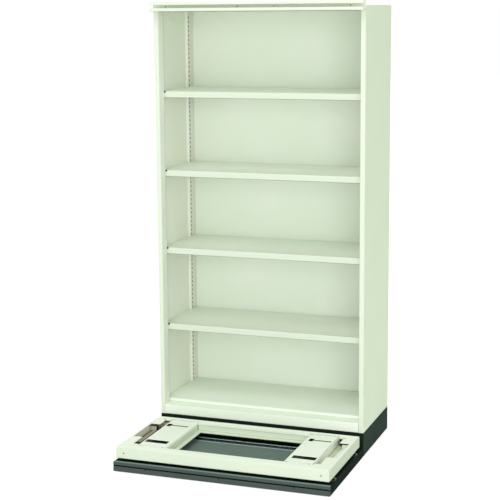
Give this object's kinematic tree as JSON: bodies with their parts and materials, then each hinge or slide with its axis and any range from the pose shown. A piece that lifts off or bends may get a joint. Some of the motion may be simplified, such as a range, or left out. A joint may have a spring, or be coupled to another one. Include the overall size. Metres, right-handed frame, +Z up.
{
  "type": "compact mobile shelving column",
  "caption": "Column of compact mobile shelving: open-front steel bookcase on a dark track base with rails, and a low wheeled carriage that rolls sideways in front of it.",
  "frame": {"origin": "middle of the base's footprint, on the floor", "axes": "+Z up; the front of the bookcase and the carriage face -Y; the rails and the carriage's travel lie along X"},
  "size_m": [0.88, 0.87, 1.807],
  "materials": {
    "ivory_paint": "satin pale ivory-green powder coat",
    "slate_paint": "satin dark grey-green powder coat",
    "bright_steel": "bright drawn steel",
    "black_lacquer": "matt black lacquered sheet",
    "zinc_plate": "zinc plated sheet",
    "dark_iron": "machined cast iron",
    "foot_rubber": "matt black"
  },
  "bodies": {
    "base_and_cabinet": {"back_panel": "ivory_paint", "base_plinth": "slate_paint", "bottom_front_rail": "ivory_paint", "bottom_shelf": "ivory_paint", "front_fascia": "slate_paint", "front_rail": "bright_steel", "front_upright_left": "ivory_paint", "front_upright_right": "ivory_paint", "levelling_foot_front_left": "foot_rubber", "levelling_foot_front_right": "foot_rubber", "levelling_foot_rear_left": "foot_rubber", "levelling_foot_rear_right": "foot_rubber", "rear_rail": "bright_steel", "rear_upright_left": "ivory_paint", "rear_upright_right": "ivory_paint", "shelf_1": "ivory_paint", "shelf_2": "ivory_paint", "shelf_3": "ivory_paint", "shelf_4": "ivory_paint", "shelf_clip_1_front_left": "zinc_plate", "shelf_clip_1_front_right": "zinc_plate", "shelf_clip_1_rear_left": "zinc_plate", "shelf_clip_1_rear_right": "zinc_plate", "shelf_clip_2_front_left": "zinc_plate", "shelf_clip_2_front_right": "zinc_plate", "shelf_clip_2_rear_left": "zinc_plate", "shelf_clip_2_rear_right": "zinc_plate", "shelf_clip_3_front_left": "zinc_plate", "shelf_clip_3_front_right": "zinc_plate", "shelf_clip_3_rear_left": "zinc_plate", "shelf_clip_3_rear_right": "zinc_plate", "shelf_clip_4_front_left": "zinc_plate", "shelf_clip_4_front_right": "zinc_plate", "shelf_clip_4_rear_left": "zinc_plate", "shelf_clip_4_rear_right": "zinc_plate", "side_panel_left": "ivory_paint", "side_panel_right": "ivory_paint", "top_guide_rail": "ivory_paint", "top_panel": "ivory_paint", "track_deck": "slate_paint"},
    "carriage": {"axle_front_left": "bright_steel", "axle_front_right": "bright_steel", "axle_rear_left": "bright_steel", "axle_rear_right": "bright_steel", "carriage_front_beam": "ivory_paint", "carriage_ledge_frame": "ivory_paint", "carriage_rear_beam": "ivory_paint", "carriage_side_beam_left": "ivory_paint", "carriage_side_beam_right": "ivory_paint", "wheel_bracket_front_left": "black_lacquer", "wheel_bracket_front_right": "black_lacquer", "wheel_bracket_rear_left": "black_lacquer", "wheel_bracket_rear_right": "black_lacquer", "wheel_plate_left": "ivory_paint", "wheel_plate_right": "ivory_paint"},
    "wheel_front_left": {"wheel_front_left": "dark_iron"},
    "wheel_front_right": {"wheel_front_right": "dark_iron"},
    "wheel_rear_left": {"wheel_rear_left": "dark_iron"},
    "wheel_rear_right": {"wheel_rear_right": "dark_iron"}
  },
  "joints": [
    {"name": "carriage_slide", "type": "slide", "parent": "base_and_cabinet", "child": "carriage", "axis": [1, 0, 0], "range_m": [-0.13, 0.13]},
    {"name": "wheel_front_left_spin", "type": "hinge", "parent": "carriage", "child": "wheel_front_left", "pos_m": [-0.3005, -0.358, 0.068], "axis": [0, 1, 0], "continuous": true},
    {"name": "wheel_front_right_spin", "type": "hinge", "parent": "carriage", "child": "wheel_front_right", "pos_m": [0.3005, -0.358, 0.068], "axis": [0, 1, 0], "continuous": true},
    {"name": "wheel_rear_left_spin", "type": "hinge", "parent": "carriage", "child": "wheel_rear_left", "pos_m": [-0.3005, -0.064, 0.068], "axis": [0, 1, 0], "continuous": true},
    {"name": "wheel_rear_right_spin", "type": "hinge", "parent": "carriage", "child": "wheel_rear_right", "pos_m": [0.3005, -0.064, 0.068], "axis": [0, 1, 0], "continuous": true}
  ],
  "couplings": [
    {"joint": "wheel_front_left_spin", "follows": "carriage_slide", "rad_per_m": 50},
    {"joint": "wheel_front_right_spin", "follows": "carriage_slide", "rad_per_m": 50},
    {"joint": "wheel_rear_left_spin", "follows": "carriage_slide", "rad_per_m": 50},
    {"joint": "wheel_rear_right_spin", "follows": "carriage_slide", "rad_per_m": 50}
  ]
}
